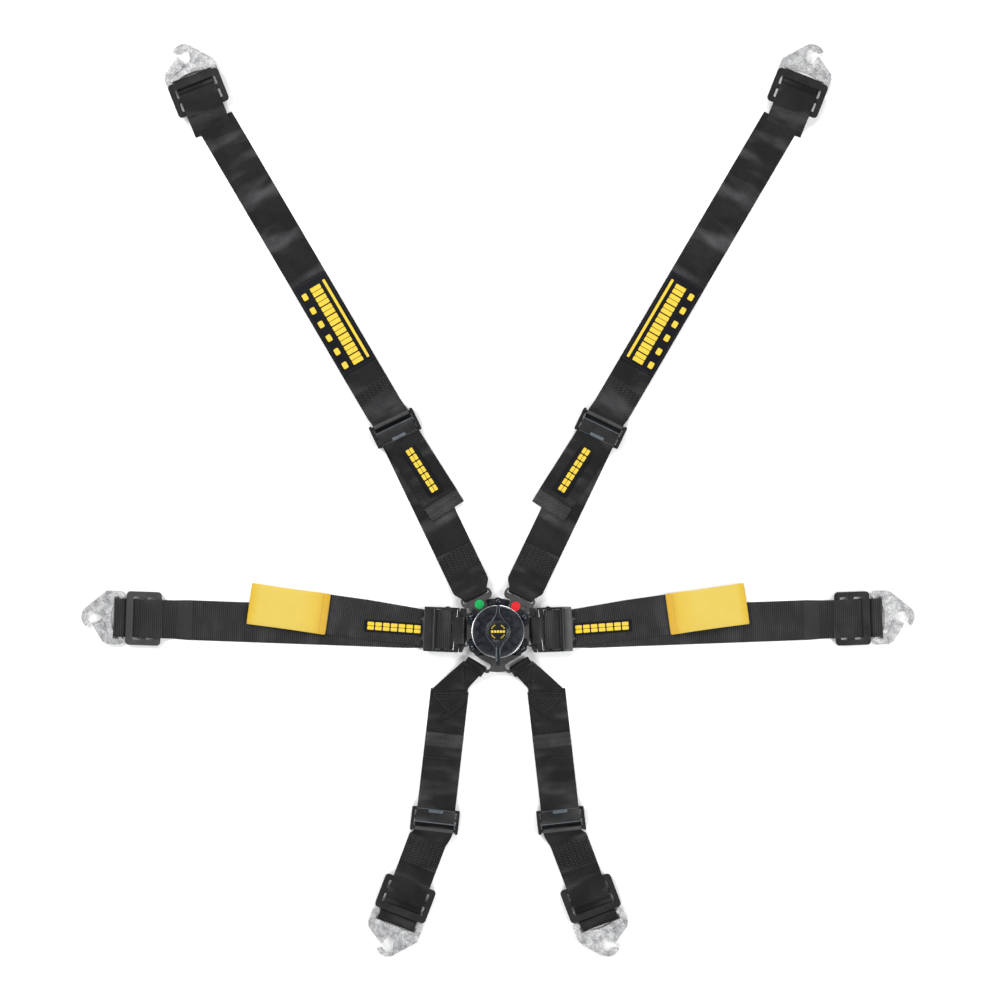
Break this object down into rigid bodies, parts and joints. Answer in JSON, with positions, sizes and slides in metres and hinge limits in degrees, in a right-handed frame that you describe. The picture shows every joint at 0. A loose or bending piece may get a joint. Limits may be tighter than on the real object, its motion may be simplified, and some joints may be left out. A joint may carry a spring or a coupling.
{
  "type": "racing harness",
  "caption": "Multi-point racing harness with a turn-to-release cam-lock buckle, adjusters, three-bar slides and snap hooks, laid flat.",
  "frame": {"origin": "centre of the buckle's flat back face, on the surface that the harness lies on", "axes": "+Z away from the wearer's body, +Y towards the shoulder straps, +X to the right as seen from above"},
  "size_m": [1.0406, 1.1396, 0.028],
  "materials": {
    "webbing": "woven polyester, black",
    "plate_grey": "dark grey satin plate",
    "hardware_black": "black satin",
    "zinc": "zinc plated, mottled",
    "spring_steel": "bright",
    "dial_black": "gloss blue-black",
    "badge": "gloss black",
    "yellow": "woven polyester, yellow",
    "green_dot": "gloss",
    "red_dot": "gloss",
    "slide_grey": "dark grey satin"
  },
  "bodies": {
    "buckle": {"buckle_back_plate": "plate_grey", "buckle_housing": "hardware_black", "housing_rivets": "hardware_black", "spindle": "spring_steel", "dial_spring": "spring_steel", "crotch_tongue": "plate_grey", "marker_green": "green_dot", "marker_red": "red_dot", "latch_springs": "spring_steel", "shoulder_tongue_left": "plate_grey", "shoulder_tongue_right": "plate_grey", "lap_tongue_left": "plate_grey", "lap_tongue_right": "plate_grey"},
    "dial": {"release_dial": "dial_black", "cam_ring": "spring_steel", "dial_badge": "badge"},
    "latch": {"latch_pins": "spring_steel"},
    "shoulder_strap_left": {"shoulder_lower_web_left": "webbing", "shoulder_upper_web_left": "webbing", "shoulder_adjuster_frame_left": "hardware_black", "shoulder_slide_left": "hardware_black"},
    "lap_strap_left": {"lap_web_left": "webbing", "lap_adjuster_frame_left": "hardware_black", "lap_slide_left": "slide_grey"},
    "crotch_strap_left": {"crotch_upper_web_left": "webbing", "crotch_lower_web_left": "webbing", "crotch_adjuster_frame_left": "hardware_black", "crotch_slide_left": "hardware_black"},
    "shoulder_lock_left": {"shoulder_lock_bar_left": "hardware_black"},
    "shoulder_hook_left": {"shoulder_hook_left": "zinc"},
    "shoulder_gate_left": {"shoulder_gate_left": "zinc"},
    "lap_lock_left": {"lap_lock_bar_left": "hardware_black"},
    "lap_hook_left": {"lap_hook_left": "zinc"},
    "lap_gate_left": {"lap_gate_left": "zinc"},
    "crotch_lock_left": {"crotch_lock_bar_left": "hardware_black"},
    "crotch_hook_left": {"crotch_hook_left": "zinc"},
    "crotch_gate_left": {"crotch_gate_left": "zinc"},
    "pull_loop_left": {"pull_loop_left": "yellow"},
    "shoulder_strap_right": {"shoulder_lower_web_right": "webbing", "shoulder_upper_web_right": "webbing", "shoulder_adjuster_frame_right": "hardware_black", "shoulder_slide_right": "hardware_black"},
    "lap_strap_right": {"lap_web_right": "webbing", "lap_adjuster_frame_right": "hardware_black", "lap_slide_right": "hardware_black"},
    "crotch_strap_right": {"crotch_upper_web_right": "webbing", "crotch_lower_web_right": "webbing", "crotch_adjuster_frame_right": "hardware_black", "crotch_slide_right": "hardware_black"},
    "shoulder_lock_right": {"shoulder_lock_bar_right": "hardware_black"},
    "shoulder_hook_right": {"shoulder_hook_right": "zinc"},
    "shoulder_gate_right": {"shoulder_gate_right": "zinc"},
    "lap_lock_right": {"lap_lock_bar_right": "hardware_black"},
    "lap_hook_right": {"lap_hook_right": "zinc"},
    "lap_gate_right": {"lap_gate_right": "zinc"},
    "crotch_lock_right": {"crotch_lock_bar_right": "hardware_black"},
    "crotch_hook_right": {"crotch_hook_right": "zinc"},
    "crotch_gate_right": {"crotch_gate_right": "zinc"},
    "pull_loop_right": {"pull_loop_right": "yellow"}
  },
  "joints": [
    {"name": "dial_turn", "type": "hinge", "parent": "buckle", "child": "dial", "pos_m": [0, 0, 0.02], "axis": [0, 0, 1], "range_deg": [0, 60], "stiffness_Nm_per_rad": 0.25, "springref_deg": -17.19},
    {"name": "latch_lift", "type": "slide", "parent": "buckle", "child": "latch", "axis": [0, 0, 1], "range_m": [0, 0.0036], "deforming": ["latch_springs"]},
    {"name": "shoulder_strap_fold_left", "type": "hinge", "parent": "buckle", "child": "shoulder_strap_left", "pos_m": [-0.029, 0.046, 0.007], "axis": [0.9018, 0.4321, 0], "range_deg": [0, 60]},
    {"name": "lap_strap_fold_left", "type": "hinge", "parent": "buckle", "child": "lap_strap_left", "pos_m": [-0.045, 0.0012, 0.007], "axis": [0.0366, 0.9993, 0], "range_deg": [0, 60]},
    {"name": "crotch_strap_fold_left", "type": "hinge", "parent": "buckle", "child": "crotch_strap_left", "pos_m": [-0.0245, -0.044, 0.007], "axis": [-0.8572, 0.515, 0], "range_deg": [0, 30]},
    {"name": "shoulder_hook_tilt_left", "type": "hinge", "parent": "shoulder_strap_left", "child": "shoulder_hook_left", "pos_m": [-0.37963, 0.68653, 0.0044], "axis": [0.9304, 0.3665, 0], "range_deg": [0, 18]},
    {"name": "shoulder_gate_swing_left", "type": "hinge", "parent": "shoulder_hook_left", "child": "shoulder_gate_left", "pos_m": [-0.41182, 0.6932, 0.0044], "axis": [0, 0, -1], "range_deg": [0, 20], "stiffness_Nm_per_rad": 0.15, "springref_deg": -11.46},
    {"name": "shoulder_lock_slide_left", "type": "slide", "parent": "shoulder_strap_left", "child": "shoulder_lock_left", "axis": [0.4321, -0.9018, 0], "range_m": [0, 0.0025]},
    {"name": "lap_hook_tilt_left", "type": "hinge", "parent": "lap_strap_left", "child": "lap_hook_left", "pos_m": [-0.47131, 0.01683, 0.0044], "axis": [0.0366, 0.9993, 0], "range_deg": [0, 60]},
    {"name": "lap_gate_swing_left", "type": "hinge", "parent": "lap_hook_left", "child": "lap_gate_left", "pos_m": [-0.49031, -0.00999, 0.0044], "axis": [0, 0, -1], "range_deg": [0, 20], "stiffness_Nm_per_rad": 0.15, "springref_deg": -11.46},
    {"name": "lap_lock_tilt_left", "type": "hinge", "parent": "lap_strap_left", "child": "lap_lock_left", "pos_m": [-0.06699, 0.00201, 0.0066], "axis": [0.0366, 0.9993, 0], "range_deg": [-15, 15]},
    {"name": "crotch_hook_tilt_left", "type": "hinge", "parent": "crotch_strap_left", "child": "crotch_hook_left", "pos_m": [-0.12534, -0.35954, 0.0044], "axis": [-0.9354, 0.3535, 0], "range_deg": [0, 60]},
    {"name": "crotch_gate_swing_left", "type": "hinge", "parent": "crotch_hook_left", "child": "crotch_gate_left", "pos_m": [-0.15743, -0.36666, 0.0044], "axis": [0, 0, 1], "range_deg": [0, 20], "stiffness_Nm_per_rad": 0.15, "springref_deg": -11.46},
    {"name": "crotch_lock_slide_left", "type": "slide", "parent": "crotch_strap_left", "child": "crotch_lock_left", "axis": [0.1132, 0.9936, 0], "range_m": [0, 0.0025]},
    {"name": "pull_loop_flip_left", "type": "hinge", "parent": "lap_strap_left", "child": "pull_loop_left", "pos_m": [-0.21189, 0.01863, 0.0055], "axis": [0.1392, 0.9903, 0], "range_deg": [0, 100]},
    {"name": "shoulder_strap_fold_right", "type": "hinge", "parent": "buckle", "child": "shoulder_strap_right", "pos_m": [0.029, 0.046, 0.007], "axis": [0.9018, -0.4321, 0], "range_deg": [0, 60]},
    {"name": "lap_strap_fold_right", "type": "hinge", "parent": "buckle", "child": "lap_strap_right", "pos_m": [0.045, 0.0012, 0.007], "axis": [0.0366, -0.9993, 0], "range_deg": [0, 60]},
    {"name": "crotch_strap_fold_right", "type": "hinge", "parent": "buckle", "child": "crotch_strap_right", "pos_m": [0.0245, -0.044, 0.007], "axis": [-0.8572, -0.515, 0], "range_deg": [0, 30]},
    {"name": "shoulder_hook_tilt_right", "type": "hinge", "parent": "shoulder_strap_right", "child": "shoulder_hook_right", "pos_m": [0.37963, 0.68653, 0.0044], "axis": [0.9304, -0.3665, 0], "range_deg": [0, 18]},
    {"name": "shoulder_gate_swing_right", "type": "hinge", "parent": "shoulder_hook_right", "child": "shoulder_gate_right", "pos_m": [0.41182, 0.6932, 0.0044], "axis": [0, 0, 1], "range_deg": [0, 20], "stiffness_Nm_per_rad": 0.15, "springref_deg": -11.46},
    {"name": "shoulder_lock_slide_right", "type": "slide", "parent": "shoulder_strap_right", "child": "shoulder_lock_right", "axis": [-0.4321, -0.9018, 0], "range_m": [0, 0.0025]},
    {"name": "lap_hook_tilt_right", "type": "hinge", "parent": "lap_strap_right", "child": "lap_hook_right", "pos_m": [0.47131, 0.01683, 0.0044], "axis": [0.0366, -0.9993, 0], "range_deg": [0, 60]},
    {"name": "lap_gate_swing_right", "type": "hinge", "parent": "lap_hook_right", "child": "lap_gate_right", "pos_m": [0.49031, -0.00999, 0.0044], "axis": [0, 0, 1], "range_deg": [0, 20], "stiffness_Nm_per_rad": 0.15, "springref_deg": -11.46},
    {"name": "lap_lock_tilt_right", "type": "hinge", "parent": "lap_strap_right", "child": "lap_lock_right", "pos_m": [0.06699, 0.00201, 0.0066], "axis": [0.0366, -0.9993, 0], "range_deg": [-15, 15]},
    {"name": "crotch_hook_tilt_right", "type": "hinge", "parent": "crotch_strap_right", "child": "crotch_hook_right", "pos_m": [0.12534, -0.35954, 0.0044], "axis": [-0.9354, -0.3535, 0], "range_deg": [0, 60]},
    {"name": "crotch_gate_swing_right", "type": "hinge", "parent": "crotch_hook_right", "child": "crotch_gate_right", "pos_m": [0.15743, -0.36666, 0.0044], "axis": [0, 0, -1], "range_deg": [0, 20], "stiffness_Nm_per_rad": 0.15, "springref_deg": -11.46},
    {"name": "crotch_lock_slide_right", "type": "slide", "parent": "crotch_strap_right", "child": "crotch_lock_right", "axis": [-0.1132, 0.9936, 0], "range_m": [0, 0.0025]},
    {"name": "pull_loop_flip_right", "type": "hinge", "parent": "lap_strap_right", "child": "pull_loop_right", "pos_m": [0.21189, 0.01863, 0.0055], "axis": [0.1392, -0.9903, 0], "range_deg": [0, 100]}
  ],
  "couplings": [
    {"joint": "latch_lift", "follows": "dial_turn", "m_per_rad": 0.0034377}
  ]
}
